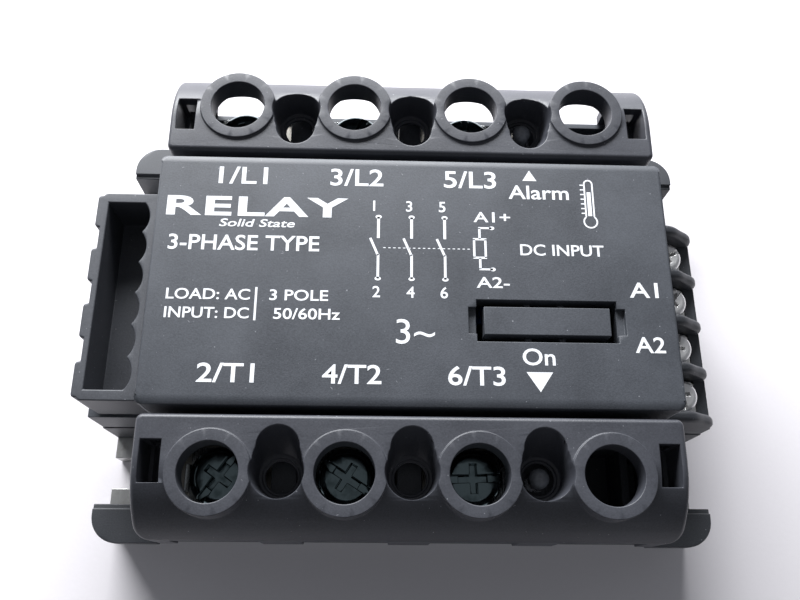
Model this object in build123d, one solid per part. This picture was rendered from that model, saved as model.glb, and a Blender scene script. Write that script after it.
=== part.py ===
from build123d import *
import math
import os

# Three-phase solid state relay for panel mounting.
# Frame: origin at the centre of the base plate's underside, +X towards the control
# terminals, +Y towards the line terminals L1 to L3, +Z up. Millimetres.

# ---- driving dimensions: overall body
base_length = 103.0
base_depth = 73.0
plate_depth = 70.0
plate_corner_radius = 3.0
base_thickness = 4.0
corner_radius = 4.5
wall = 2.0
rim_thickness = 2.5
ear_top_z = 13.0
ear_inner_x = 40.4
ear_inner_y = 30.2
ear_lip_width = 0.8
ear_lip_drop = 0.5
frame_top_z = 13.0
parting_gap = 0.5
middle_half_depth = 17.7
deck_half_width = 38.4
deck_half_depth = 36.0

# ---- mounting slots for M5 screws
slot_width = 5.3
slot_centre_x = 45.5
slot_centre_y = 24.0

# ---- plateau and knock-out window
plateau_half_width = 38.65
plateau_half_depth = 19.5
plateau_z = 41.0
plateau_skin = 3.0
plateau_slope_width = 1.35
plateau_slope_drop = 0.5
plateau_end_radius = 0.45
plateau_corner_radius = 0.9
window_x = 19.6
window_y = -6.7
window_length = 20.6
window_height = 6.35
window_groove = 1.05
web_offset = 2.5
web_width = 0.95
web_drop = 2.0
latch_recess_length = 1.2
latch_recess_height = 4.0
latch_recess_drop = 0.9
side_slit_y = (1.6, -3.2, -7.9, -12.7)
side_slit_length = 1.1
side_slit_depth = 0.35
side_slit_bottom_drop = 3.6
side_slit_top_drop = 0.7

# ---- terminal rows
power_pitch = 18.46
power_row_y = 28.2
bay_half_width = 7.4
bay_inner_y = 22.4
bay_floor_z = 16.0
deck_floor_z = 14.0
sill_z = 26.0
sill_thickness = 1.0
partition_top_z = 30.5
busbar_top_z = 25.4
busbar_thickness = 1.5
busbar_width = 14.0
busbar_outer_y = 34.6
shelf_width = 1.6
fit_gap = 0.1

# ---- power screws, M4, and their lifting clamps
power_thread_radius = 2.0
power_thread_clearance = 0.05
power_screw_length = 10.0
power_head_radius = 4.3
power_head_height = 2.9
power_clamp_size = 9.0
power_clamp_thickness = 1.5
power_clamp_bottom_z = 28.5
clamp_wing_rise = 0.8
wing_thickness = 0.7

# ---- touch-proof covers
cover_half_width = 38.2
cover_inner_y = 20.7
cover_outer_y = 37.2
cover_skin = 1.7
cover_bottom_z = 26.3
cover_flat_z = 40.6
cover_flat_end_y = 26.5
cover_arc_radius = 12.0
cover_corner_radius = 2.0
cover_edge_radius = 0.7
cover_skirt_z = 34.0
collar_row_y = 28.7
collar_top_z = 41.0
collar_bottom_z = 37.2
collar_hole_radius = 4.17
collar_radius = 5.9
cable_entry_half_width = 6.2
cable_entry_top_z = 32.8
pocket_radius = 3.8
pocket_y = 28.4
pocket_foot_radius = 3.2
pocket_head_y = 24.9
pocket_head_radius = 3.0
pocket_floor_z = 34.0
pocket_wall = 1.0
pocket_hole_radius = 2.3
pocket_step_width = 0.4
end_slot_width = 2.9
end_slot_length = 5.8
end_slot_x = 35.75
end_slot_y = 27.2
latch_leg_drop = 7.0
latch_leg_thickness = 1.4
latch_leg_half_width = 3.8
latch_rib_width = 0.8
latch_bar_height = 2.2
latch_clearance = 0.3

# ---- plug shroud on the left
shroud_bottom_z = 22.0
shroud_top_z = 32.0
shroud_half_depth = 17.2
shroud_outer_x = 49.9
shroud_inner_x = 38.9
shroud_wall = 1.0
shroud_end_wall = 1.7
shroud_floor_thickness = 1.2
shroud_pad_thickness = 0.8
shroud_pad_count = 4
shroud_pad_length = 5.6
shroud_pad_pitch = 9.3
scallop_count = 6
scallop_pitch = 5.2
scallop_radius = 3.88
scallop_deep_x = 42.1
flange_top_z = 21.6

# ---- control terminals on the right, M3
control_pitch = 8.35
control_count = 4
control_screw_x = 46.0
control_floor_z = 16.0
control_deck_z = 17.0
control_wall_thickness = 2.0
control_wall_x = 51.3
fin_thickness = 2.0
fin_root_z = 24.2
fin_tip_x = 51.5
fin_tip_z = 19.2
fin_shoulder_x = 45.6
contact_thickness = 0.8
contact_width = 5.6
contact_tail_width = 1.6
contact_tail_spread = 0.9
contact_tail_end_x = 33.2
control_thread_radius = 1.5
control_screw_length = 5.6
control_head_radius = 2.75
control_head_height = 2.0
control_clamp_size = 5.6
control_clamp_thickness = 0.9
control_clamp_gap = 0.1

# ---- signal light guides
guide_head_radius = 1.5
guide_stem_radius = 1.1
guide_top_z = 35.6
led_size = 2.8
led_height = 1.6
led_gap = 0.2

# ---- inside
coupler_half_width = 3.2
coupler_y = (2.0, 10.6)
coupler_height = 3.6
varistor_radius = 5.6
varistor_thickness = 4.0
varistor_y = -2.0
varistor_foot_half_width = 2.5
varistor_foot_height = 2.0
capacitor_half_width = 5.0
capacitor_y = (-13.0, -7.0)
capacitor_height = 9.0
component_shift_x = 4.0
sensor_half_length = 1.6
sensor_half_width = 0.8
sensor_height = 0.9
chip_row_y = 5.5
board_length = 70.0
board_margin = 2.5
board_depth = 34.0
board_thickness = 1.6
board_z = 18.0
board_ledge_depth = 2.0
board_ledge_half_width = 2.0
board_ledge_height = 2.0
substrate_length = 62.0
substrate_depth = 38.0
substrate_thickness = 0.6
chip_size = 7.0
chip_thickness = 0.4
riser_thickness = 1.2
riser_width = 6.0
housing_screw_x = 35.0
housing_screw_y = 15.9
housing_screw_radius = 1.5
housing_screw_tip_z = 23.0
housing_boss_radius = 2.9
housing_boss_top_z = 25.0

power_x = [(i - 1.5) * power_pitch for i in range(4)]
control_y = [(1.5 - i) * control_pitch for i in range(control_count)]
rows = {"line": 1, "load": -1}
power_names = {"line": ("l1", "l2", "l3"), "load": ("t1", "t2", "t3")}
row_sides = (1, -1)


def block(x0, x1, y0, y1, z0, z1):
    """A box from its corner coordinates, in either order."""
    size = Box(abs(x1 - x0), abs(y1 - y0), abs(z1 - z0))
    return Pos((x0 + x1) / 2, (y0 + y1) / 2, (z0 + z1) / 2) * size


def rod(x, y, z0, z1, radius):
    """An upright cylinder between two heights."""
    return Pos(x, y, (z0 + z1) / 2) * Cylinder(radius, abs(z1 - z0))


def rounded_slab(half_x, half_y, radius, z0, z1):
    """A slab centred on the Z axis with rounded upright corners."""
    outline = RectangleRounded(2 * half_x, 2 * half_y, radius)
    return Pos(0, 0, z0) * extrude(outline, z1 - z0)


def save(name, shape):
    """Write one node's STEP file."""
    export_step(shape, f"parts/{name}.step")
    print(name, len(shape.solids()), round(shape.volume))


def mounting_slots(z0, z1):
    """The four U-shaped slots, open outwards, between two heights."""
    cut = None
    for side_x in (1, -1):
        for side_y in row_sides:
            x, y = side_x * slot_centre_x, side_y * slot_centre_y
            end = rod(x, y, z0, z1, slot_width / 2)
            reach = side_x * (base_length / 2 + 1)
            run = block(x, reach, y - slot_width / 2, y + slot_width / 2, z0, z1)
            cut = end + run if cut is None else cut + end + run
    return cut


def make_base_plate():
    """Nickel-plated aluminium plate with four slots and four countersunk holes."""
    plate = rounded_slab(base_length / 2, plate_depth / 2, plate_corner_radius, 0, base_thickness)
    plate -= mounting_slots(-1, base_thickness + 1)
    for x in (housing_screw_x, -housing_screw_x):
        for y in (housing_screw_y, -housing_screw_y):
            plate -= rod(x, y, -1, base_thickness + 1, housing_screw_radius + 0.2)
            plate -= Pos(x, y, 0.9) * Cone(housing_screw_radius + 1.7, housing_screw_radius + 0.1, 1.8)
    return plate


def make_lower_frame():
    """Plastic wall that stands on the plate, with the four corner ears."""
    body = rounded_slab(base_length / 2, base_depth / 2, corner_radius, base_thickness, frame_top_z)
    outside = base_length / 2 + 1
    lip_y = ear_inner_y + ear_lip_width
    for side_x in (1, -1):
        for side_y in row_sides:
            inner_x = side_x * deck_half_width
            outer_x = side_x * outside
            body -= block(inner_x, outer_x, side_y * middle_half_depth, side_y * ear_inner_y,
                          base_thickness - 1, frame_top_z + 1)
            body -= block(inner_x, outer_x, side_y * ear_inner_y, side_y * lip_y,
                          ear_top_z - ear_lip_drop, ear_top_z + 1)
    for side_y in row_sides:
        body -= block(-outside, outside, side_y * plate_depth / 2, side_y * base_depth / 2,
                      base_thickness - 1, ear_top_z - rim_thickness)
        body -= block(-ear_inner_x, ear_inner_x, side_y * deck_half_depth, side_y * base_depth / 2,
                      base_thickness - 1, frame_top_z + 1)
    inner_deck_x = deck_half_width - wall
    inner_deck_y = plate_depth / 2 - wall
    body -= block(-inner_deck_x, inner_deck_x, -inner_deck_y, inner_deck_y,
                  base_thickness - 1, frame_top_z + 1)
    inner_x = base_length / 2 - wall
    inner_y = middle_half_depth - wall
    body -= block(-inner_x, inner_x, -inner_y, inner_y, base_thickness - 1, frame_top_z + 1)
    for x in (housing_screw_x, -housing_screw_x):
        for y in (housing_screw_y, -housing_screw_y):
            reach = math.copysign(deck_half_width - wall / 2, x)
            body += rod(x, y, base_thickness, frame_top_z, housing_boss_radius)
            body += block(x, reach, y, math.copysign(middle_half_depth, y), base_thickness, frame_top_z)
            body -= rod(x, y, base_thickness - 1, frame_top_z + 1, housing_screw_radius + 0.2)
    lamp_seat_z = frame_top_z + led_gap - led_height
    for side_y in row_sides:
        x, y = power_pitch, side_y * pocket_y
        body += block(x - led_size, x + led_size, y - led_size, side_y * (inner_deck_y + wall / 2),
                      base_thickness, lamp_seat_z)
    return body


def deck_bays(side):
    """The hollows of one row of four bays, with the shelves that carry the busbars."""
    cut = None
    outer_y = side * (deck_half_depth - sill_thickness)
    for x in power_x:
        bay = block(x - bay_half_width, x + bay_half_width, side * bay_inner_y, outer_y,
                    bay_floor_z, partition_top_z + 1)
        shelf_top = busbar_top_z - busbar_thickness
        for edge in (1, -1):
            shelf_x = x + edge * bay_half_width
            shelf = block(shelf_x, shelf_x - edge * shelf_width, side * bay_inner_y,
                          side * busbar_outer_y, bay_floor_z, shelf_top)
            bay -= shelf
        cut = bay if cut is None else cut + bay
    return cut


def contact_tail(y, gap):
    """The tail of one control contact, running inwards to the driver board."""
    tail_y = y * contact_tail_spread
    half = contact_tail_width / 2 + gap
    return block(contact_tail_end_x - gap, control_wall_x - control_wall_thickness - 4,
                 tail_y - half, tail_y + half, control_deck_z, control_deck_z + contact_thickness + gap)


def make_plateau(z0):
    """The raised middle of the top moulding, with a shallow slope along its two long edges."""
    flat_y = plateau_half_depth - plateau_slope_width
    slope_z = plateau_z - plateau_slope_drop
    outline = Polyline((-plateau_half_depth, z0), (-plateau_half_depth, slope_z), (-flat_y, plateau_z),
                       (flat_y, plateau_z), (plateau_half_depth, slope_z), (plateau_half_depth, z0),
                       close=True)
    section = Plane.YZ * make_face(outline)
    plateau = extrude(section, plateau_half_width, both=True)
    plateau = fillet(plateau.edges().filter_by(Axis.Z), plateau_corner_radius)
    ends = plateau.faces().sort_by(Axis.Z)[-1].edges().filter_by(Axis.Y)
    return fillet(ends, plateau_end_radius)


def make_upper_housing():
    """Moulded top: plateau, both terminal decks and the two side flanges."""
    z0 = frame_top_z
    z1 = frame_top_z + parting_gap
    skin = parting_gap
    flange_x = base_length / 2 - 0.2
    body = block(-flange_x, -deck_half_width, -middle_half_depth + 0.1, middle_half_depth - 0.1,
                 z1, flange_top_z)
    body += block(deck_half_width, flange_x, -middle_half_depth + 0.1, middle_half_depth - 0.1,
                  z1, control_floor_z)
    body += block(-flange_x + skin, flange_x - skin, -middle_half_depth + skin,
                  middle_half_depth - skin, z0, z1)
    body += make_plateau(z1)
    deck_x = deck_half_width - 2 * fit_gap
    for side in row_sides:
        body += block(-deck_x, deck_x, 0, side * deck_half_depth, z1, sill_z)
        body += block(-deck_x + skin, deck_x - skin, 0, side * (deck_half_depth - skin), z0, z1)
        partition_y = deck_half_depth - sill_thickness
        inner_face = cover_inner_y + cover_skin + 0.5
        partition_x = cover_half_width - cover_skin - 0.5
        body += block(-partition_x, partition_x, side * inner_face, side * partition_y,
                      sill_z, partition_top_z)
    body = hollow_upper_housing(body)
    return cut_window(body)


def hollow_upper_housing(body):
    """Open the main cavity, the bays, the latch wells and the screw clearances."""
    z0 = frame_top_z
    skin = parting_gap
    inner_x = plateau_half_width - wall
    inner_y = plateau_half_depth - wall
    cavity = block(-inner_x, inner_x, -inner_y, inner_y, z0 - 1, plateau_z - plateau_skin)
    for x in (housing_screw_x, -housing_screw_x):
        for y in (housing_screw_y, -housing_screw_y):
            boss = rod(x, y, z0, housing_boss_top_z, housing_boss_radius)
            boss += block(x, math.copysign(inner_x, x), y - housing_boss_radius,
                          y + housing_boss_radius, z0, housing_boss_top_z)
            boss += block(x - housing_boss_radius, x + housing_boss_radius, y,
                          math.copysign(inner_y, y), z0, housing_boss_top_z)
            cavity -= boss
    for side in (1, -1):
        cavity -= block(side * inner_x, side * (inner_x - board_ledge_depth - board_margin),
                        -board_ledge_half_width, board_ledge_half_width,
                        board_z - board_ledge_height, board_z)
    body -= cavity
    for x in (housing_screw_x, -housing_screw_x):
        for y in (housing_screw_y, -housing_screw_y):
            body -= rod(x, y, z0 - 1, housing_screw_tip_z + 1, housing_screw_radius)
    for side in row_sides:
        body -= deck_bays(side)
        under_y = deck_half_depth - wall - skin
        body -= block(-deck_half_width + wall + skin, deck_half_width - wall - skin,
                      side * (plateau_half_depth + 1.2), side * under_y, z0 - 1, deck_floor_z)
        for x in power_x[:3]:
            body -= block(x - riser_width / 2 - fit_gap, x + riser_width / 2 + fit_gap,
                          side * (bay_inner_y + fit_gap),
                          side * (bay_inner_y + 2 * fit_gap + riser_thickness + fit_gap),
                          z0 - 1, bay_floor_z + 1)
        for end in (1, -1):
            leg_x = end * end_slot_x
            body -= block(leg_x - latch_leg_thickness / 2 - latch_clearance,
                          leg_x + latch_leg_thickness / 2 + latch_clearance,
                          side * (end_slot_y - latch_leg_half_width - latch_clearance),
                          side * (end_slot_y + latch_leg_half_width + latch_clearance),
                          cover_bottom_z - latch_leg_drop - 1, partition_top_z + 1)
        body -= rod(power_pitch, side * pocket_y, frame_top_z - 1, partition_top_z + 1,
                    guide_stem_radius + fit_gap)
    under_x = base_length / 2 - wall - skin - 0.4
    under_y = middle_half_depth - wall - skin
    body -= block(-under_x, -plateau_half_width - 1.5, -under_y, under_y, z0 - 1, flange_top_z - 2.0)
    for y in control_y:
        body -= rod(control_screw_x, y, z0 - 1, control_floor_z + 1, control_thread_radius + 0.3)
        body -= contact_tail(y, fit_gap)
    return body


def cut_window(body):
    """Cut the knock-out window, its webs and the latch recesses; add the side slits."""
    half_l, half_h = window_length / 2, window_height / 2
    under = plateau_z - plateau_skin - 1
    top = plateau_z + 1
    x0, x1 = window_x - half_l, window_x + half_l
    y0, y1 = window_y - half_h, window_y + half_h
    groove = block(x0, x1, y0, y1, under, top)
    island = block(x0 + window_groove, x1 - window_groove, y0 + window_groove, y1 - window_groove,
                   under, top)
    groove -= island
    for web_x in (window_x - web_offset, window_x + web_offset):
        groove -= block(web_x - web_width / 2, web_x + web_width / 2, y0, y1, under,
                        plateau_z - web_drop)
    body -= groove
    for end in (1, -1):
        edge = window_x + end * half_l
        recess = block(edge, edge + end * latch_recess_length, window_y - latch_recess_height / 2,
                       window_y + latch_recess_height / 2, plateau_z - latch_recess_drop, top)
        body -= recess
    for y in side_slit_y:
        body -= block(-plateau_half_width - 1, -plateau_half_width + side_slit_depth,
                      y - side_slit_length / 2, y + side_slit_length / 2,
                      plateau_z - side_slit_bottom_drop, plateau_z - side_slit_top_drop)
    return body


def make_plug_shroud():
    """Open-topped shroud for a plug, with a scalloped inner wall and four outer pads."""
    body = block(-shroud_outer_x, -shroud_inner_x, -shroud_half_depth, shroud_half_depth,
                 shroud_bottom_z, shroud_top_z)
    body = fillet(body.edges().filter_by(Axis.Z).sort_by(Axis.X)[:2], 0.8)
    cavity_outer = -shroud_outer_x + shroud_wall
    cusp_depth = scallop_radius - math.sqrt(scallop_radius ** 2 - (scallop_pitch / 2) ** 2)
    cavity_inner = -scallop_deep_x - cusp_depth
    inner_half = shroud_half_depth - shroud_end_wall
    floor = shroud_bottom_z + shroud_floor_thickness
    cavity = block(cavity_outer, cavity_inner, -inner_half, inner_half, floor, shroud_top_z + 1)
    for index in range(scallop_count):
        y = (index - (scallop_count - 1) / 2) * scallop_pitch
        cavity += rod(-scallop_deep_x - scallop_radius, y, floor, shroud_top_z + 1, scallop_radius)
    limit = block(cavity_outer, -scallop_deep_x + 1, -inner_half, inner_half, floor, shroud_top_z + 1)
    body -= cavity & limit
    for index in range(shroud_pad_count):
        y = (index - (shroud_pad_count - 1) / 2) * shroud_pad_pitch
        pad = block(-shroud_outer_x - shroud_pad_thickness, -shroud_outer_x + 0.4,
                    y - shroud_pad_length / 2, y + shroud_pad_length / 2,
                    shroud_bottom_z + 1.0, shroud_top_z)
        pad = fillet(pad.edges().filter_by(Axis.Z).sort_by(Axis.X)[:2], 0.6)
        body += pad
    body += block(-shroud_outer_x + 0.4, -shroud_inner_x, -shroud_half_depth + 0.4,
                  shroud_half_depth - 0.4, flange_top_z, shroud_bottom_z)
    return body


def fin_profile():
    """Side outline of one barrier fin, in X and Z."""
    root_x = plateau_half_width + 0.2
    with BuildSketch(Plane.XZ) as outline:
        with BuildLine():
            Polyline((fin_tip_x, fin_tip_z - 1.4), (fin_tip_x, control_floor_z),
                     (root_x, control_floor_z), (root_x, fin_root_z), (fin_shoulder_x, fin_root_z - 0.6))
            Spline((fin_shoulder_x, fin_root_z - 0.6), (fin_tip_x - 2.4, fin_tip_z + 2.2),
                   (fin_tip_x, fin_tip_z - 1.4), tangents=((1, -0.12), (0, -1)))
        make_face()
    return outline.sketch


def make_control_terminal_block():
    """Barrier strip with five fins, a thin outer wall and four screw wells."""
    half = middle_half_depth - 0.1
    root_x = plateau_half_width + 0.2
    body = block(root_x, control_wall_x, -half, half, control_floor_z, control_deck_z)
    body += block(root_x, root_x + 1.2, -half, half, control_deck_z, fin_root_z - 1.0)
    body += block(control_wall_x - control_wall_thickness, control_wall_x, -half, half,
                  control_deck_z, control_deck_z + 0.7)
    fin = extrude(fin_profile(), fin_thickness / 2, both=True)
    tip_edges = fin.edges().filter_by(Axis.Z).sort_by(Axis.X)[-2:]
    fin = fillet(tip_edges, fin_thickness / 2 - 0.15)
    for index in range(control_count + 1):
        y = (index - control_count / 2) * control_pitch
        inset = (fin_thickness / 2 + abs(y)) - half
        shift = -math.copysign(inset, y) if inset > 0 else 0
        body += Pos(0, y + shift, 0) * fin
    for y in control_y:
        body -= rod(control_screw_x, y, control_floor_z - 1, control_deck_z + 1,
                    control_thread_radius + 0.3)
        body -= contact_tail(y, fit_gap)
    return body


def cover_section(inset):
    """Cross-section of a cover in Y and Z, offset inwards by a wall thickness."""
    arc_z = cover_flat_z - cover_arc_radius
    radius = cover_arc_radius - inset
    top = cover_flat_z - inset
    outer = cover_outer_y - inset
    inner = cover_inner_y + inset
    end_z = arc_z + math.sqrt(radius ** 2 - (outer - cover_flat_end_y) ** 2)
    half_angle = math.atan2(outer - cover_flat_end_y, end_z - arc_z) / 2
    middle = (cover_flat_end_y + radius * math.sin(half_angle), arc_z + radius * math.cos(half_angle))
    bottom = cover_bottom_z if inset == 0 else cover_bottom_z - 1
    with BuildSketch(Plane.YZ) as section:
        with BuildLine():
            Line((inner, bottom), (inner, top))
            Line((inner, top), (cover_flat_end_y, top))
            ThreePointArc((cover_flat_end_y, top), middle, (outer, end_z))
            Line((outer, end_z), (outer, bottom))
            Line((outer, bottom), (inner, bottom))
        make_face()
    return section.sketch


def make_cover():
    """Clip-on touch-proof cover of the line row; the load row's is its mirror image."""
    solid = extrude(cover_section(0), cover_half_width, both=True)
    uprights = solid.edges().filter_by(Axis.Z).sort_by(Axis.Y)
    solid = fillet(uprights[:2], cover_corner_radius / 2)
    uprights = solid.edges().filter_by(Axis.Z).sort_by(Axis.Y)
    solid = fillet(uprights[-2:], cover_corner_radius)
    top_face = solid.faces().filter_by(Axis.Z).sort_by(Axis.Z)[-1]
    solid = fillet(top_face.edges().sort_by(Axis.Y)[:-1], cover_edge_radius)
    hollow = extrude(cover_section(cover_skin), cover_half_width - cover_skin, both=True)
    cover = solid - hollow
    inner_x = cover_half_width - cover_skin
    cover -= block(-inner_x, inner_x, cover_inner_y - 1, cover_inner_y + cover_skin + 0.2,
                   cover_bottom_z - 1, cover_skirt_z)
    cover = add_collars(cover)
    cover = add_pockets(cover)
    return add_cover_ends(cover)


def add_collars(cover):
    """Four round screwdriver collars, and the cable entries below them."""
    for x in power_x:
        cover += rod(x, collar_row_y, collar_bottom_z, collar_top_z, collar_radius)
    for x in power_x:
        cover -= rod(x, collar_row_y, collar_bottom_z - 3, collar_top_z + 1, collar_hole_radius)
        cover -= block(x - cable_entry_half_width, x + cable_entry_half_width, cover_outer_y - 3,
                       cover_outer_y + 1, cover_bottom_z - 1, cable_entry_top_z)
    return cover


def add_pockets(cover):
    """Three dished pockets between the collars, each with a stepped hole in its floor."""
    for index in range(3):
        x = (index - 1) * power_pitch
        well = rod(x, pocket_y, pocket_floor_z - pocket_wall, cover_flat_z - 1.0,
                   pocket_radius + pocket_wall)
        well += rod(x, pocket_head_y, pocket_floor_z + pocket_wall, cover_flat_z - 1.0,
                    pocket_head_radius + pocket_wall)
        near_skin = block(x - 9, x + 9, cover_inner_y + 0.5, cover_outer_y - 0.6,
                          pocket_floor_z - pocket_wall, cover_flat_z)
        well = well & near_skin & extrude(cover_section(0.2), cover_half_width, both=True)
        cover += well
    for index in range(3):
        x = (index - 1) * power_pitch
        for share in (0.0, 0.5, 1.0):
            mouth_y = pocket_head_y + share * (pocket_y - pocket_head_y)
            mouth_radius = pocket_head_radius + share * (pocket_radius - pocket_head_radius)
            cover -= loft([
                Pos(x, mouth_y, collar_top_z + fit_gap) * Circle(mouth_radius),
                Pos(x, pocket_y, pocket_floor_z) * Circle(pocket_foot_radius),
            ])
        cover -= rod(x, pocket_y, pocket_floor_z - pocket_wall - 2, pocket_floor_z + 1,
                     pocket_hole_radius)
        cover -= rod(x, pocket_y, pocket_floor_z - pocket_step_width, pocket_floor_z + 1,
                     pocket_hole_radius + pocket_step_width)
    return cover


def add_cover_ends(cover):
    """Latch release slots at both ends, and the latch legs that hang below them."""
    for end in (1, -1):
        x = end * end_slot_x
        cover -= block(x - end_slot_width / 2, x + end_slot_width / 2,
                       end_slot_y - end_slot_length / 2, end_slot_y + end_slot_length / 2,
                       cover_flat_z - 6, collar_top_z + 1)
        leg_inner, leg_outer = x - latch_leg_thickness / 2, x + latch_leg_thickness / 2
        foot_z = cover_bottom_z - latch_leg_drop
        for rib in (1, -1):
            rib_end = end_slot_y + rib * latch_leg_half_width
            rib_start = rib_end - rib * latch_rib_width
            cover += block(leg_inner, leg_outer, rib_start, rib_end, foot_z, cover_skirt_z + 1)
            cover += block(leg_inner if end > 0 else leg_outer, end * (cover_half_width - 0.4),
                           rib_start, rib_end, cover_bottom_z, cover_skirt_z + 1)
        cover += block(leg_inner, leg_outer, end_slot_y - latch_leg_half_width,
                       end_slot_y + latch_leg_half_width, foot_z, foot_z + latch_bar_height)
    return cover


def recess_cross(z_top, depth, arm, width, slot_length, slot_width_here):
    """Cross recess with a straight driver slot through it."""
    cross = Pos(0, 0, z_top - depth / 2) * Box(2 * arm, width, depth)
    cross += Pos(0, 0, z_top - depth / 2) * Box(width, 2 * arm, depth)
    slot_depth = depth * 0.55
    cross += Pos(0, 0, z_top - slot_depth / 2) * Box(slot_length, slot_width_here, slot_depth)
    return cross


def make_screw(x, y, seat_z, shank, thread, head, height, turn):
    """Pan-head screw with a combined slot and cross, standing on its seat."""
    screw = Pos(0, 0, height / 2) * Cylinder(head, height)
    screw = fillet(screw.faces().sort_by(Axis.Z)[-1].edges(), height * 0.45)
    screw += Pos(0, 0, -shank / 2) * Cylinder(thread, shank)
    tip = screw.faces().sort_by(Axis.Z)[0]
    screw = chamfer(tip.edges(), thread * 0.25)
    screw -= recess_cross(height + 0.01, height * 0.62, head * 0.5, head * 0.24,
                          3 * head, head * 0.27)
    return Pos(x, y, seat_z) * (Rot(0, 0, turn) * screw)


def make_clamp(x, y, bottom, size, thickness, hole, wing_rise):
    """Square pressure plate under a screw head; a big one has two turned-up wings."""
    plate = block(-size / 2, size / 2, -size / 2, size / 2, 0, thickness)
    plate = chamfer(plate.edges().filter_by(Axis.Z), size * 0.08)
    if wing_rise:
        for side in (1, -1):
            plate += block(side * size / 2, side * (size / 2 + wing_thickness), -size * 0.22,
                           size * 0.22, 0, thickness + wing_rise)
    plate -= rod(0, 0, -1, thickness + 1, hole)
    return Pos(x, y, bottom) * plate


def make_busbars(side):
    """Three nickel-plated busbars with a nut collar and a riser to the substrate."""
    bars = []
    bottom = busbar_top_z - busbar_thickness
    for x in power_x[:3]:
        inner_y = bay_inner_y + 2 * fit_gap
        bar = block(x - busbar_width / 2, x + busbar_width / 2, side * inner_y,
                    side * busbar_outer_y, bottom, busbar_top_z)
        bar += rod(x, side * power_row_y, bottom - 2.2, bottom, 3.4)
        bar -= rod(x, side * power_row_y, bottom - 3, busbar_top_z + 1,
                   power_thread_radius + power_thread_clearance)
        riser_foot = base_thickness + substrate_thickness
        bar += block(x - riser_width / 2, x + riser_width / 2, side * inner_y,
                     side * (inner_y + riser_thickness), riser_foot + riser_thickness, bottom)
        bar += block(x - riser_width / 2, x + riser_width / 2, side * (substrate_depth / 2 - 3.0),
                     side * (inner_y + riser_thickness), riser_foot, riser_foot + riser_thickness)
        bars.append(bar)
    return Compound(children=bars)


def make_control_contacts():
    """Four brass contact plates with tails that reach in under the driver board."""
    plates = []
    for y in control_y:
        outer = control_wall_x - control_wall_thickness - 0.2
        inner = plateau_half_width + 1.6
        plate = block(inner, outer, y - contact_width / 2, y + contact_width / 2, control_deck_z,
                      control_deck_z + contact_thickness)
        plate += contact_tail(y, 0)
        plate += block(contact_tail_end_x, contact_tail_end_x + contact_thickness,
                       y * contact_tail_spread - contact_tail_width / 2,
                       y * contact_tail_spread + contact_tail_width / 2, control_deck_z, board_z)
        plate -= rod(control_screw_x, y, control_deck_z - 1, control_deck_z + 2,
                     control_thread_radius + 0.05)
        plates.append(plate)
    return Compound(children=plates)


def make_light_guide(side):
    """Clear rod from a lamp up into the third pocket; its head rests on the partition."""
    x, y = power_pitch, side * pocket_y
    head = rod(x, y, partition_top_z, guide_top_z, guide_head_radius)
    head = fillet(head.faces().sort_by(Axis.Z)[-1].edges(), guide_head_radius * 0.8)
    return head + rod(x, y, frame_top_z + 2 * led_gap, partition_top_z, guide_stem_radius)


def make_driver_board():
    """Printed board under the plateau, notched round the four bosses."""
    board = block(-board_length / 2, board_length / 2, -board_depth / 2, board_depth / 2,
                  board_z, board_z + board_thickness)
    notch = housing_boss_radius + 0.4
    for x in (housing_screw_x, -housing_screw_x):
        for y in (housing_screw_y, -housing_screw_y):
            far_x, far_y = math.copysign(board_length, x), math.copysign(board_depth, y)
            board -= block(x - math.copysign(notch, x), far_x, y - math.copysign(notch, y), far_y,
                           board_z - 1, board_z + board_thickness + 1)
    return board


def make_board_components():
    """Optocouplers, varistors and snubber capacitors on the driver board."""
    top = board_z + board_thickness
    couplers, varistors, capacitors = [], [], []
    for index in range(3):
        x = power_x[index] + component_shift_x
        couplers.append(block(x - coupler_half_width, x + coupler_half_width, *coupler_y, top,
                              top + coupler_height))
        disc_z = top + varistor_radius + 0.6
        disc = Pos(x, varistor_y, disc_z) * (Rot(90, 0, 0) * Cylinder(varistor_radius, varistor_thickness))
        foot = block(x - varistor_foot_half_width, x + varistor_foot_half_width, varistor_y - 1.2,
                     varistor_y + 1.2, top, top + varistor_foot_height)
        varistors.append(disc + foot)
        capacitors.append(block(x - capacitor_half_width, x + capacitor_half_width, *capacitor_y, top,
                                top + capacitor_height))
    return Compound(children=couplers), Compound(children=varistors), Compound(children=capacitors)


def make_power_section():
    """Ceramic substrate on the plate with six thyristor chips and a temperature sensor."""
    z0 = base_thickness
    z1 = base_thickness + substrate_thickness
    substrate = block(-substrate_length / 2, substrate_length / 2, -substrate_depth / 2,
                      substrate_depth / 2, z0, z1)
    chips = []
    for x in power_x[:3]:
        for y in (chip_row_y, -chip_row_y):
            chips.append(block(x - chip_size / 2, x + chip_size / 2, y - chip_size / 2,
                               y + chip_size / 2, z1, z1 + chip_thickness))
    sensor_x = power_x[3] - 2.0
    sensor = block(sensor_x - sensor_half_length, sensor_x + sensor_half_length, -sensor_half_width,
                   sensor_half_width, z1, z1 + sensor_height)
    return substrate, Compound(children=chips), sensor


def make_signal_lights(side):
    """Small lamp on a post of the lower frame, just below its light guide."""
    x, y = power_pitch, side * pocket_y
    top = frame_top_z + led_gap
    return block(x - led_size / 2, x + led_size / 2, y - led_size / 2, y + led_size / 2,
                 top - led_height, top)


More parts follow.
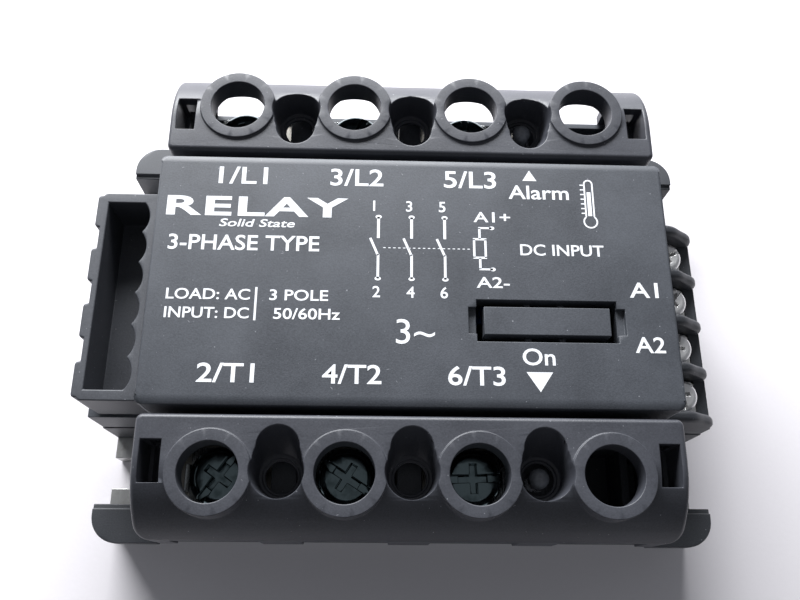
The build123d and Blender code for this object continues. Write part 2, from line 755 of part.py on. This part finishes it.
def make_housing_screws():
    """Four countersunk self-tapping screws from the plate up into the top moulding."""
    screws = []
    for x in (housing_screw_x, -housing_screw_x):
        for y in (housing_screw_y, -housing_screw_y):
            shank = rod(x, y, 0.2, housing_screw_tip_z, housing_screw_radius)
            head = Pos(x, y, 0.95) * Cone(housing_screw_radius + 1.4, housing_screw_radius, 1.5)
            screw = shank + head
            screw -= block(x - 1.8, x + 1.8, y - 0.3, y + 0.3, 0, 0.9)
            screw -= block(x - 0.3, x + 0.3, y - 1.8, y + 1.8, 0, 0.9)
            screws.append(screw)
    return Compound(children=screws)


os.makedirs("parts", exist_ok=True)

save("base_plate", make_base_plate())
save("lower_frame", make_lower_frame())
save("upper_housing", make_upper_housing())
save("plug_shroud", make_plug_shroud())
save("control_terminal_block", make_control_terminal_block())
rear_cover = make_cover()
save("rear_cover", rear_cover)
save("front_cover", mirror(rear_cover, Plane.XZ))

screw_turns = {"l1": 20, "l2": 65, "l3": 90, "t1": 55, "t2": -32, "t3": 2}
for row, side in rows.items():
    for x, name in zip(power_x, power_names[row]):
        y = side * power_row_y
        clamp = make_clamp(x, y, power_clamp_bottom_z, power_clamp_size, power_clamp_thickness,
                           power_thread_radius + power_thread_clearance, clamp_wing_rise)
        save(f"power_clamp_{name}", clamp)
        seat = power_clamp_bottom_z + power_clamp_thickness
        screw = make_screw(x, y, seat, power_screw_length, power_thread_radius, power_head_radius,
                           power_head_height, screw_turns[name])
        save(f"power_screw_{name}", screw)
save("line_busbars", make_busbars(1))
save("load_busbars", make_busbars(-1))

clamp_z = control_deck_z + contact_thickness + control_clamp_gap
for index, y in enumerate(control_y, start=1):
    clamp = make_clamp(control_screw_x, y, clamp_z, control_clamp_size, control_clamp_thickness,
                       control_thread_radius + 0.05, 0)
    save(f"control_clamp_{index}", clamp)
    screw = make_screw(control_screw_x, y, clamp_z + control_clamp_thickness, control_screw_length,
                       control_thread_radius, control_head_radius, control_head_height, 25 * index)
    save(f"control_screw_{index}", screw)
save("control_contacts", make_control_contacts())

save("alarm_light_guide", make_light_guide(1))
save("on_light_guide", make_light_guide(-1))
save("alarm_light", make_signal_lights(1))
save("on_light", make_signal_lights(-1))
save("driver_board", make_driver_board())
couplers, varistors, capacitors = make_board_components()
save("optocouplers", couplers)
save("varistors", varistors)
save("snubber_capacitors", capacitors)
substrate, chips, sensor = make_power_section()
save("ceramic_substrate", substrate)
save("thyristor_chips", chips)
save("temperature_sensor", sensor)
save("housing_screws", make_housing_screws())
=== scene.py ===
import math

import bmesh
import bpy
from mathutils import Matrix, Vector
from mathutils.bvhtree import BVHTree


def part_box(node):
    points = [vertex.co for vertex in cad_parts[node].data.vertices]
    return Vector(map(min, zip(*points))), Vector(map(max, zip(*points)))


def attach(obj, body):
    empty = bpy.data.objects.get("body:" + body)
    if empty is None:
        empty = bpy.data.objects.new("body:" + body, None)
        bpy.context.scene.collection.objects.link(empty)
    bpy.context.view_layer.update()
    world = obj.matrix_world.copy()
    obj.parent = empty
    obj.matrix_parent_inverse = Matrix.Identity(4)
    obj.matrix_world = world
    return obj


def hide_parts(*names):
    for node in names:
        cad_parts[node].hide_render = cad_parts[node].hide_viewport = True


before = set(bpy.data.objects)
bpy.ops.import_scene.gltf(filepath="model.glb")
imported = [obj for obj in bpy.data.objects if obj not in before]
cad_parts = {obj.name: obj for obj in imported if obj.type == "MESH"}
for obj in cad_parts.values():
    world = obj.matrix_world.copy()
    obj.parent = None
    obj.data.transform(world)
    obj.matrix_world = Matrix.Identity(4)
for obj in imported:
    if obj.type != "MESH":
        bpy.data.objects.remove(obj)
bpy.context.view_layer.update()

MM = 0.001
ROOT = "housing"
PLACES = ("l1", "l2", "l3", "t1", "t2", "t3")
CONTROLS = range(1, 5)
PLATEAU_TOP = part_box("upper_housing")[1].z


# ------------------------------------------------------------------ shader maths
class Field:
    """A number that varies over a surface: a socket with arithmetic."""

    def __init__(self, finish, socket):
        self.finish = finish
        self.socket = socket

    def calc(self, operation, *values):
        made = self.finish.add("ShaderNodeMath", {"operation": operation}, dict(enumerate(values)))
        return Field(self.finish, made.outputs[0])

    def __add__(self, other):
        return self.calc("ADD", self, other)

    def __sub__(self, other):
        return self.calc("SUBTRACT", self, other)

    def __rsub__(self, other):
        return self.calc("SUBTRACT", other, self)

    def __mul__(self, other):
        return self.calc("MULTIPLY", self, other)

    __radd__ = __add__
    __rmul__ = __mul__

    def above(self, level):
        """1 where the field is over the level, else 0."""
        return self.calc("GREATER_THAN", self, level)

    def at_most(self, level):
        return self.calc("MINIMUM", self, level)

    def between(self, low, high):
        """0 at low, 1 at high, straight between and held outside."""
        made = self.finish.add(
            "ShaderNodeMapRange", {"clamp": True}, {0: self, 1: low, 2: high, 3: 0.0, 4: 1.0}
        )
        return Field(self.finish, made.outputs[0])


class Finish:
    """One material: a Principled surface and the fields that vary over it."""

    def __init__(self, name, roughness, metallic=0.0, **constants):
        self.material = bpy.data.materials.new(name)
        self.material.use_nodes = True
        self.tree = self.material.node_tree
        self.surface = self.tree.nodes["Principled BSDF"]
        self.surface.inputs["Roughness"].default_value = roughness
        self.surface.inputs["Metallic"].default_value = metallic
        for socket, value in constants.items():
            self.surface.inputs[socket.replace("_", " ")].default_value = value
        self.place = self.add("ShaderNodeTexCoord").outputs["Object"]

    def add(self, kind, settings=None, values=None):
        """A node with its settings made first, then the values or links of its sockets."""
        made = self.tree.nodes.new(kind)
        for key, value in (settings or {}).items():
            setattr(made, key, value)
        for key, value in (values or {}).items():
            self.feed(made.inputs[key], value)
        return made

    def feed(self, socket, value):
        """Link a field or a socket, or set a plain value."""
        if isinstance(value, Field):
            value = value.socket
        if isinstance(value, bpy.types.NodeSocket):
            self.tree.links.new(value, socket)
        else:
            socket.default_value = value

    def stretched(self, across, along, turn=0.0):
        """Object coordinates turned about Z and drawn out across and along Y, for streaks and hairs."""
        made = self.add(
            "ShaderNodeMapping",
            {"vector_type": "TEXTURE"},
            {"Location": (0, 0, 0), "Rotation": (0, 0, turn), "Scale": (across, along, across)},
        )
        self.feed(made.inputs["Vector"], self.place)
        return made.outputs[0]

    def cloud(self, size_mm, detail, place=None):
        """Soft noise whose blotches are about size_mm across."""
        values = {"Vector": place or self.place, "Scale": 1.0 / (size_mm * MM), "Detail": detail}
        return Field(self, self.add("ShaderNodeTexNoise", None, values).outputs["Fac"])

    def dots(self, spacing_mm, radius, share, place=None):
        """Scattered dots: that share of the cells, spacing_mm apart, holds one up to that radius in cells."""
        smallest, soft_rim = 0.4, 0.3
        values = {"Vector": place or self.place, "Scale": 1.0 / (spacing_mm * MM)}
        cells = self.add("ShaderNodeTexVoronoi", {"feature": "F1"}, values)
        split = self.add("ShaderNodeSeparateColor", None, {0: cells.outputs["Color"]})
        chosen = Field(self, split.outputs[0]).above(1.0 - share)
        size = Field(self, split.outputs[1]) * ((1 - smallest) * radius) + smallest * radius
        reach = Field(self, cells.outputs["Distance"])
        return (size - reach).between(0.0, soft_rim * radius) * chosen

    def blend(self, amount, first, second):
        """Colour mix of two colours or colour sockets by a field."""
        made = self.add("ShaderNodeMix", {"data_type": "RGBA"})
        self.feed(made.inputs[0], amount)
        self.feed(made.inputs[6], first)
        self.feed(made.inputs[7], second)
        return made.outputs[2]

    def colour(self, value):
        self.feed(self.surface.inputs["Base Color"], value)

    def rough(self, value):
        self.feed(self.surface.inputs["Roughness"], value)

    def bump(self, height, depth_mm, strength):
        values = {"Strength": strength, "Distance": depth_mm * MM, "Height": height}
        made = self.add("ShaderNodeBump", None, values)
        self.feed(self.surface.inputs["Normal"], made.outputs[0])


def tint(red, green, blue):
    return (red, green, blue, 1.0)


def shade(tone, share):
    """A tone made darker or lighter by a share."""
    return tint(*(min(1.0, c * share) for c in tone))


# ------------------------------------------------------------------ finishes
def moulded_plastic(name, tone, wear=1.0, roughness=0.5):
    """Matt spark-eroded plastic with handling marks: dust, grit, lint and hairs."""
    made = Finish(name, roughness, Specular_IOR_Level=0.5)
    grain = made.cloud(size_mm=0.22, detail=3.0)
    patch = made.cloud(size_mm=9.0, detail=3.0)
    mottle = grain * 0.55 + patch * 0.45
    body = made.blend(mottle.between(0.3, 0.7), shade(tone, 0.72), shade(tone, 1.3))
    dust = made.dots(spacing_mm=2.2, radius=0.06, share=0.55) * wear
    grit = made.dots(spacing_mm=0.8, radius=0.12, share=0.22) * wear
    lint_way = made.stretched(across=0.45, along=2.2, turn=0.7)
    lint = made.dots(spacing_mm=2.4, radius=0.055, share=0.28, place=lint_way) * wear
    hair_way = made.stretched(across=2.0, along=0.4, turn=0.25)
    hair = made.dots(spacing_mm=2.9, radius=0.05, share=0.22, place=hair_way) * wear
    marks = (dust + grit + lint + hair).at_most(0.6)
    pale_dust = tint(0.34, 0.35, 0.38)
    made.colour(made.blend(marks, body, pale_dust))
    made.rough(patch.between(0.25, 0.75) * 0.10 + grain * 0.08 + (roughness - 0.09))
    fine = made.cloud(size_mm=0.09, detail=1.0)
    made.bump(grain + fine * 0.6, depth_mm=0.02, strength=0.8)
    return made.material


def rolled_metal(name, tone, roughness, streak_mm, tarnish=(0.0, 0.0, 0.0)):
    """Plated metal with fine drawing lines, small pits and faint tarnish."""
    made = Finish(name, roughness, 1.0)
    lines = made.cloud(size_mm=1.0, detail=4.0, place=made.stretched(across=0.12, along=streak_mm))
    cloudy = made.cloud(size_mm=1.6, detail=3.0)
    pits = made.dots(spacing_mm=0.5, radius=0.16, share=0.25)
    bright = made.blend(lines, shade(tone, 0.85), shade(tone, 1.1))
    dulled = made.blend(cloudy.between(0.52, 0.8) * 0.7, bright, tint(*tarnish))
    pit_floor = tint(0.08, 0.08, 0.08)
    made.colour(made.blend(pits * 0.5, dulled, pit_floor))
    made.rough(lines * 0.16 + cloudy * 0.12 + (roughness - 0.12))
    made.bump(lines + cloudy * 0.5, depth_mm=0.006, strength=0.5)
    return made.material


def printed_ink():
    """Pad-printed off-white ink, slightly thin in places."""
    made = Finish("printed_ink", 0.6)
    grain = made.cloud(size_mm=0.12, detail=2.0)
    patch = made.cloud(size_mm=2.5, detail=2.0)
    thin = (grain * 0.6 + patch * 0.4).between(0.55, 0.75) * 0.35
    full_ink, rubbed_ink = tint(0.83, 0.85, 0.88), tint(0.38, 0.40, 0.43)
    made.colour(made.blend(thin, full_ink, rubbed_ink))
    made.rough(grain * 0.2 + 0.5)
    made.bump(grain, depth_mm=0.01, strength=0.4)
    return made.material


def smoked_clear():
    """Smoke-grey clear plastic of the light guides, a little cloudy inside."""
    made = Finish("smoked_clear", 0.18, IOR=1.49, Transmission_Weight=0.25)
    haze = made.cloud(size_mm=0.5, detail=2.0)
    deep_smoke, thin_smoke = tint(0.16, 0.17, 0.19), tint(0.34, 0.36, 0.39)
    made.colour(made.blend(haze, deep_smoke, thin_smoke))
    made.rough(haze * 0.18 + 0.12)
    made.bump(haze, depth_mm=0.008, strength=0.3)
    return made.material


def coated(name, tone, roughness):
    """Small inner parts: a mould or coating tone with fine mottling."""
    made = Finish(name, roughness)
    cloudy = made.cloud(size_mm=0.6, detail=3.0)
    specks = made.dots(spacing_mm=0.7, radius=0.12, share=0.15)
    base = made.blend(cloudy, shade(tone, 0.8), shade(tone, 1.15))
    pale_speck = tint(0.5, 0.5, 0.5)
    made.colour(made.blend(specks * 0.25, base, pale_speck))
    made.rough(cloudy * 0.2 + (roughness - 0.1))
    made.bump(cloudy, depth_mm=0.01, strength=0.5)
    return made.material


def solder_mask():
    """Green laminate with fine weave and darker traces."""
    made = Finish("solder_mask", 0.35)
    warp = made.cloud(size_mm=1.0, detail=1.0, place=made.stretched(across=0.3, along=3.0))
    weft = made.cloud(size_mm=1.0, detail=1.0, place=made.stretched(across=3.0, along=0.3))
    weave = warp * weft
    traces = made.cloud(size_mm=2.2, detail=0.0).between(0.49, 0.51)
    dark_green, light_green = tint(0.012, 0.10, 0.035), tint(0.03, 0.17, 0.06)
    weave_green = tint(0.05, 0.22, 0.10)
    green = made.blend(traces, dark_green, light_green)
    made.colour(made.blend(weave * 0.5, green, weave_green))
    made.rough(weave * 0.3 + 0.25)
    made.bump(traces + weave, depth_mm=0.02, strength=0.5)
    return made.material


def paper_floor():
    """Plain pale backing sheet with a faint tooth."""
    made = Finish("paper_floor", 0.75)
    tooth = made.cloud(size_mm=0.7, detail=3.0)
    wash = made.cloud(size_mm=60.0, detail=2.0)
    grey_paper, pale_paper = tint(0.80, 0.77, 0.80), tint(0.88, 0.86, 0.89)
    made.colour(made.blend(tooth * 0.35 + wash * 0.65, grey_paper, pale_paper))
    made.rough(tooth * 0.15 + 0.65)
    made.bump(tooth, depth_mm=0.03, strength=0.35)
    return made.material


HOUSING = moulded_plastic("housing_plastic", (0.060, 0.066, 0.078))
COVER = moulded_plastic("cover_plastic", (0.049, 0.052, 0.063), roughness=0.46)
FRAME = moulded_plastic("frame_plastic", (0.050, 0.054, 0.062))
SHROUD = moulded_plastic("shroud_plastic", (0.056, 0.060, 0.070))
STRIP = moulded_plastic("terminal_strip_plastic", (0.042, 0.046, 0.054), wear=0.7)
PLATE = rolled_metal("plate_nickel", (0.50, 0.50, 0.49), 0.38, 18.0, (0.30, 0.29, 0.27))
BUSBAR = rolled_metal("busbar_nickel", (0.46, 0.44, 0.40), 0.30, 6.0, (0.16, 0.14, 0.10))
CONTACT = rolled_metal("contact_brass", (0.72, 0.63, 0.40), 0.28, 4.0, (0.30, 0.20, 0.08))
CLAMP = rolled_metal("clamp_zinc", (0.80, 0.80, 0.78), 0.30, 3.0, (0.40, 0.40, 0.38))
# Painted shade: the power clamps and screws are the same zinc as the control clamps and screws. Their much
# darker tone stands in for the shade down in the terminal holes.
SHADED_POWER_CLAMP = rolled_metal("power_clamp_zinc_painted_shade", (0.40, 0.42, 0.42), 0.24, 3.0, (0.12, 0.13, 0.13))
SHADED_POWER_SCREW = rolled_metal("power_screw_zinc_painted_shade", (0.17, 0.22, 0.23), 0.13, 2.0, (0.03, 0.05, 0.05))
CONTROL_SCREW = rolled_metal("control_screw_zinc", (0.97, 0.96, 0.95), 0.42, 2.0, (0.72, 0.71, 0.69))
INK = printed_ink()
LIGHT_GUIDE = smoked_clear()
FIXED_FINISHES = {
    "alarm_light_guide": LIGHT_GUIDE,
    "on_light_guide": LIGHT_GUIDE,
    "alarm_light": coated("lamp_red", (0.45, 0.05, 0.04), 0.25),
    "on_light": coated("lamp_green", (0.08, 0.34, 0.10), 0.25),
    "driver_board": solder_mask(),
    "optocouplers": coated("package_black", (0.02, 0.02, 0.022), 0.45),
    "varistors": coated("varistor_blue", (0.03, 0.09, 0.30), 0.3),
    "snubber_capacitors": coated("capacitor_yellow", (0.55, 0.40, 0.07), 0.35),
    "ceramic_substrate": coated("sintered_alumina", (0.74, 0.73, 0.70), 0.5),
    "thyristor_chips": rolled_metal("metallised_silicon", (0.34, 0.35, 0.39), 0.3, 1.0),
    "temperature_sensor": coated("sensor_black", (0.03, 0.03, 0.032), 0.4),
    "housing_screws": CLAMP,
    "line_busbars": BUSBAR,
    "load_busbars": BUSBAR,
    "control_contacts": CONTACT,
}


# ------------------------------------------------------------------ mesh helpers
SHARP = math.radians(42)
WELD_MM = 0.002


def mesh_object(shape, name, finish):
    """Turn a bmesh into an object of the scene."""
    mesh = bpy.data.meshes.new(name)
    shape.to_mesh(mesh)
    shape.free()
    mesh.materials.append(finish)
    made = bpy.data.objects.new(name, mesh)
    bpy.context.scene.collection.objects.link(made)
    return made


def keep(shape, name, finish, body):
    """Turn a bmesh into a piece that rides on a CAD body."""
    piece = mesh_object(shape, name, finish)
    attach(piece, body)
    return piece


def ease_edges(shape, width):
    """Round the sharp edges; a corner that would shoot out is laid back on the surface."""
    outside = BVHTree.FromBMesh(shape)
    edges = [e for e in shape.edges if e.is_manifold and e.calc_face_angle(0.0) > SHARP]
    bmesh.ops.bevel(
        shape, geom=edges, affect="EDGES", offset=width, offset_type="OFFSET", segments=2,
        profile=0.5, material=-1, clamp_overlap=False,
    )
    farthest = 0.5 * width
    for vert in shape.verts:
        spot, _, _, gap = outside.find_nearest(vert.co)
        if gap > farthest:
            vert.co = spot


def eased_copy(node, body, finish, ease_mm):
    """A welded copy of a CAD node with its sharp edges eased; it stands for that node."""
    shape = bmesh.new()
    shape.from_mesh(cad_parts[node].data)
    bmesh.ops.remove_doubles(shape, verts=shape.verts, dist=WELD_MM * MM)
    ease_edges(shape, ease_mm * MM)
    for face in shape.faces:
        face.material_index = 0
        face.smooth = True
    piece = keep(shape, node + "_eased", finish, body)
    piece.data.set_sharp_from_angle(angle=SHARP)
    even = piece.modifiers.new("even_shading", "WEIGHTED_NORMAL")
    even.keep_sharp = True
    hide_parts(node)


# ------------------------------------------------------------------ printed marks
# The marks are laid out in millimetres from the origin of the frame.
INK_THICKNESS = 0.03
INK_Z = PLATEAU_TOP + 0.4 * INK_THICKNESS * MM
INK_WELD = 1e-5
CAPITAL_HEIGHT = 0.729  # of the built-in typeface, for a size of 1


def bar(shape, start, end, width):
    """A straight inked line between two points of the plateau."""
    a, b = Vector((*start, 0)), Vector((*end, 0))
    run = b - a
    place = Matrix.Translation((a + b) / 2) @ Matrix.Rotation(math.atan2(run.y, run.x), 4, "Z")
    size = Matrix.Diagonal((run.length, width, INK_THICKNESS, 1))
    bmesh.ops.create_cube(shape, size=1, matrix=place @ size)


def dot(shape, x, y, half_x, half_y):
    """An inked oval."""
    size = Matrix.Diagonal((half_x, half_y, INK_THICKNESS, 1))
    bmesh.ops.create_cone(
        shape, cap_ends=True, segments=20, radius1=1, radius2=1, depth=1,
        matrix=Matrix.Translation((x, y, 0)) @ size,
    )


def arc(shape, x, y, radius, width, start_deg, sweep_deg):
    """An inked arc, spun from a small upright section."""
    step_deg, fewest_steps = 9, 8
    section = bmesh.ops.create_grid(shape, x_segments=1, y_segments=1, size=0.5)["verts"]
    size = Matrix.Diagonal((width, INK_THICKNESS, 1, 1))
    stand = Matrix.Rotation(math.radians(90), 4, "X")
    outwards = Matrix.Translation((radius, 0, 0))
    turn = Matrix.Rotation(math.radians(start_deg), 4, "Z")
    place = Matrix.Translation((x, y, 0)) @ turn @ outwards @ stand @ size
    bmesh.ops.transform(shape, matrix=place, verts=section)
    edges = list(dict.fromkeys(e for v in section for e in v.link_edges))
    faces = list(dict.fromkeys(f for v in section for f in v.link_faces))
    bmesh.ops.spin(
        shape, geom=section + edges + faces, cent=(x, y, 0), axis=(0, 0, 1),
        angle=math.radians(sweep_deg), steps=max(fewest_steps, round(sweep_deg / step_deg)),
    )


def triangle(shape, x, base, half_width, tip):
    """An inked solid triangle pointing up or down."""
    made = bmesh.ops.create_cone(
        shape, cap_ends=True, segments=3, radius1=1, radius2=1, depth=INK_THICKNESS
    )
    height = tip - base
    size = Matrix.Diagonal((half_width / math.cos(math.radians(30)), height / 1.5, 1, 1))
    place = Matrix.Translation((x, base + height / 3, 0))
    bmesh.ops.transform(shape, matrix=place @ size, verts=made["verts"])


def lettering(shape, words, left, base, cap, width=None, slant=0.0, weight=0.012, spacing=1.0):
    """Inked words from their left end and base line, fitted to a capital height and a width."""
    curve = bpy.data.curves.new("lettering", "FONT")
    curve.body = words
    curve.offset = weight
    curve.space_character = spacing
    curve.extrude = 0.5
    curve.resolution_u = 4
    holder = bpy.data.objects.new("lettering", curve)
    bpy.context.scene.collection.objects.link(holder)
    bpy.context.view_layer.update()
    solid = holder.evaluated_get(bpy.context.evaluated_depsgraph_get())
    mesh = bpy.data.meshes.new_from_object(solid)
    across = [v.co.x for v in mesh.vertices]
    low_x, high_x = min(across), max(across)
    scale_y = cap / CAPITAL_HEIGHT
    scale_x = width / (high_x - low_x) if width else scale_y
    size = Matrix.Diagonal((scale_x, scale_y, INK_THICKNESS, 1))
    lean = Matrix.Identity(4)
    lean[0][1] = slant
    place = Matrix.Translation((left, base, 0)) @ lean @ size
    mesh.transform(place @ Matrix.Translation((-low_x, 0, 0)))
    shape.from_mesh(mesh)
    bpy.data.objects.remove(holder)
    bpy.data.curves.remove(curve)
    bpy.data.meshes.remove(mesh)


def inked(shape, name):
    """Scale marks laid out in millimetres onto the plateau and keep them as one piece."""
    bmesh.ops.remove_doubles(shape, verts=shape.verts, dist=INK_WELD)
    bmesh.ops.recalc_face_normals(shape, faces=shape.faces)
    place = Matrix.Translation((0, 0, INK_Z)) @ Matrix.Scale(MM, 4)
    bmesh.ops.transform(shape, matrix=place, verts=shape.verts)
    keep(shape, name, INK, ROOT)


def terminal_marks():
    """The numbers of the line, load and control terminals."""
    shape = bmesh.new()
    line_base, line_cap = 14.7, 2.95
    for words, left, width in (("1/L1", -29.6, 7.4), ("3/L2", -12.6, 8.1), ("5/L3", 4.8, 8.05)):
        lettering(shape, words, left, line_base, line_cap, width)
    load_base, load_cap = -16.35, 2.85
    for words, left, width in (("2/T1", -30.3, 8.05), ("4/T2", -12.75, 8.35), ("6/T3", 5.0, 8.15)):
        lettering(shape, words, left, load_base, load_cap, width)
    control_cap = 2.45
    for words, left, base, width in (("A1", 32.0, -2.8, 4.3), ("A2", 32.1, -11.25, 4.4)):
        lettering(shape, words, left, base, control_cap, width)
    inked(shape, "terminal_marks")


def signal_marks():
    """The names of the two lights, each with a triangle that points at its light."""
    shape = bmesh.new()
    signal_x = 18.05
    triangle(shape, signal_x, base=16.1, half_width=1.1, tip=17.9)
    lettering(shape, "Alarm", left=14.7, base=13.0, cap=2.4, width=9.3)
    lettering(shape, "On", left=15.7, base=-13.3, cap=2.55, width=4.7)
    triangle(shape, signal_x, base=-14.35, half_width=1.9, tip=-17.25)
    inked(shape, "signal_marks")


def title_marks():
    """Generic words for the kind of device, its poles, load and input."""
    shape = bmesh.new()
    lettering(shape, "RELAY", left=-37.0, base=9.35, cap=3.2, width=27.2, weight=0.026, spacing=1.12)
    lettering(shape, "Solid State", left=-29.0, base=7.5, cap=1.3, width=11.2, slant=0.25)
    lettering(shape, "3-PHASE TYPE", left=-36.2, base=3.7, cap=2.5, width=22.3)
    upper_base, lower_base, small_cap = -4.1, -6.95, 1.7
    for words, base in (("LOAD: AC", upper_base), ("INPUT: DC", lower_base)):
        lettering(shape, words, left=-35.7, base=base, cap=small_cap, width=12.1)
    divider_x = -22.75
    bar(shape, (divider_x, -2.15), (divider_x, -7.25), width=0.32)
    for words, left, base, width in (
        ("3 POLE", -20.8, upper_base, 8.5),
        ("50/60Hz", -20.1, lower_base, 9.6),
    ):
        lettering(shape, words, left, base, small_cap, width)
    lettering(shape, "3~", left=-2.4, base=-10.4, cap=3.9, width=5.6, weight=0.0)
    lettering(shape, "DC INPUT", left=16.1, base=3.65, cap=1.85, width=12.6)
    inked(shape, "title_marks")


def draw_contacts(shape):
    """Three open contacts with their terminal numbers and the dashed link to the coil."""
    first_pole_x, pole_step, number_cap = -5.15, 4.98, 1.8
    line_end_y, pivot_y, fixed_y, load_end_y = 9.5, 6.0, 3.4, -0.5
    for i, (line_number, load_number) in enumerate(("12", "34", "56")):
        x = first_pole_x + pole_step * i
        lettering(shape, line_number, left=x - 0.85, base=10.5, cap=number_cap)
        lettering(shape, load_number, left=x - 0.75, base=-3.4, cap=number_cap)
        dot(shape, x, line_end_y, half_x=0.47, half_y=0.32)
        bar(shape, (x, line_end_y), (x, pivot_y), width=0.42)
        bar(shape, (x - 1.2, pivot_y), (x - 0.02, 3.2), width=0.36)
        bar(shape, (x, fixed_y), (x, load_end_y), width=0.38)
        dot(shape, x, load_end_y, half_x=0.47, half_y=0.30)
    link_y, dash_start, dash_step, dash_length = 4.45, -4.4, 0.74, 0.36
    for i in range(18):
        x = dash_start + dash_step * i
        bar(shape, (x, link_y), (x + dash_length, link_y), width=0.13)


def draw_coil(shape):
    """The coil as a box, with a lead and a terminal at each end."""
    left, right, low, high, line = 9.2, 10.9, 3.1, 6.1, 0.34
    bar(shape, (left - line / 2, low), (right + line / 2, low), line)
    bar(shape, (left - line / 2, high), (right + line / 2, high), line)
    bar(shape, (left, low), (left, high), line)
    bar(shape, (right, low), (right, high), line)
    coil_x, lead_x, lead_width = 10.05, 11.9, 0.3
    for start, end in ((high, 7.95), (low, 1.25)):
        bar(shape, (coil_x, start), (coil_x, end), line)
        bar(shape, (coil_x - line / 2, end), (lead_x, end), lead_width)
        dot(shape, lead_x, end, half_x=0.42, half_y=0.3)
    lettering(shape, "A1+", left=9.2, base=8.95, cap=1.75, width=5.6)
    lettering(shape, "A2-", left=9.4, base=-1.65, cap=1.75, width=4.9)


def circuit_diagram():
    """Three contacts driven by one coil."""
    shape = bmesh.new()
    draw_contacts(shape)
    draw_coil(shape)
    inked(shape, "circuit_diagram")


def thermometer_mark():
    """Line drawing of a thermometer beside the name of the alarm light."""
    shape = bmesh.new()
    x, half, line = 27.1, 0.62, 0.24
    bulb_y, bulb_r, neck_y, top_y = 9.35, 1.0, 10.15, 15.75
    arc(shape, x, top_y, half, line, 0, 180)
    neck_deg = math.degrees(math.acos(half / bulb_r))
    arc(shape, x, bulb_y, bulb_r, line, 180 - neck_deg, 180 + 2 * neck_deg)
    for side in (1, -1):
        bar(shape, (x + side * half, neck_y), (x + side * half, top_y), line)
    column_low, column_high = 10.3, 14.35
    bar(shape, (x, column_low), (x, column_high), width=0.6)
    tick_left, tick_right, first_tick_y, tick_step = 25.8, 26.35, 10.75, 0.8
    for i in range(7):
        y = first_tick_y + tick_step * i
        bar(shape, (tick_left, y), (tick_right, y), width=0.2)
    inked(shape, "thermometer_mark")


# ------------------------------------------------------------------ pieces from the CAD nodes
POWER_EASE_MM = 0.1
CONTROL_CLAMP_EASE_MM = 0.08
CONTROL_SCREW_EASE_MM = 0.06


def dress_fixed_nodes():
    for node, finish in FIXED_FINISHES.items():
        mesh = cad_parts[node].data
        mesh.materials.clear()
        mesh.materials.append(finish)


def dress_mouldings():
    """Each moulding and the plate: node, body, finish, easing in millimetres."""
    eased_copy("upper_housing", ROOT, HOUSING, 0.12)
    eased_copy("lower_frame", ROOT, FRAME, 0.15)
    eased_copy("plug_shroud", ROOT, SHROUD, 0.22)
    eased_copy("control_terminal_block", ROOT, STRIP, 0.12)
    eased_copy("base_plate", ROOT, PLATE, 0.15)
    for side in ("front", "rear"):
        eased_copy(f"{side}_cover", f"{side}_cover_body", COVER, 0.14)


def dress_terminals():
    for place in PLACES:
        eased_copy(f"power_clamp_{place}", f"power_{place}_clamp", SHADED_POWER_CLAMP, POWER_EASE_MM)
        eased_copy(
            f"power_screw_{place}", f"power_{place}_screw", SHADED_POWER_SCREW, POWER_EASE_MM
        )
    for n in CONTROLS:
        eased_copy(f"control_clamp_{n}", f"control_{n}_clamp", CLAMP, CONTROL_CLAMP_EASE_MM)
        eased_copy(
            f"control_screw_{n}", f"control_{n}_screw", CONTROL_SCREW, CONTROL_SCREW_EASE_MM,
        )


# ------------------------------------------------------------------ studio
def make_floor():
    """The backing sheet, just under the plate."""
    shape = bmesh.new()
    drop_mm, half_width = 0.05, 1.2
    under = Matrix.Translation((0, 0, -drop_mm * MM))
    bmesh.ops.create_grid(shape, x_segments=4, y_segments=4, size=half_width, matrix=under)
    floor = mesh_object(shape, "backing_sheet", paper_floor())


def add_softbox(name, spot, aim, width, depth, energy, colour):
    lamp = bpy.data.lights.new(name, "AREA")
    lamp.shape = "RECTANGLE"
    lamp.size = width
    lamp.size_y = depth
    lamp.energy = energy
    lamp.color = colour
    holder = bpy.data.objects.new(name, lamp)
    holder.location = spot
    holder.rotation_euler = (Vector(aim) - Vector(spot)).to_track_quat("-Z", "Y").to_euler()
    bpy.context.scene.collection.objects.link(holder)


def make_light():
    """A dim even room and one large softbox behind the relay."""
    world = bpy.data.worlds.new("studio_room")
    bpy.context.scene.world = world
    world.use_nodes = True
    backdrop = world.node_tree.nodes["Background"]
    backdrop.inputs["Color"].default_value = tint(0.90, 0.93, 1.0)
    backdrop.inputs["Strength"].default_value = 0.19
    add_softbox(
        "rear_softbox", spot=(-0.11, 0.42, 0.26), aim=(0, 0, 0.03), width=0.50, depth=0.20,
        energy=8.4, colour=(0.97, 0.98, 1.0),
    )


def make_camera():
    """A camera above the relay and a little in front of it, tilted 20 degrees from straight down."""
    spot_mm = (-5.37, -44.30, 152.98)
    turn_deg = (19.89, -1.69, 0.93)
    camera = bpy.data.cameras.new("product_camera")
    camera.lens = 36.83
    camera.sensor_width = 36.0
    camera.clip_start = 0.005
    holder = bpy.data.objects.new("product_camera", camera)
    holder.location = [c * MM for c in spot_mm]
    holder.rotation_mode = "ZYX"
    holder.rotation_euler = [math.radians(turn) for turn in turn_deg]
    bpy.context.scene.collection.objects.link(holder)
    bpy.context.scene.camera = holder


dress_fixed_nodes()
dress_mouldings()
dress_terminals()
terminal_marks()
signal_marks()
title_marks()
circuit_diagram()
thermometer_mark()
make_floor()
make_light()
make_camera()
bpy.context.scene.view_settings.view_transform = "Standard"
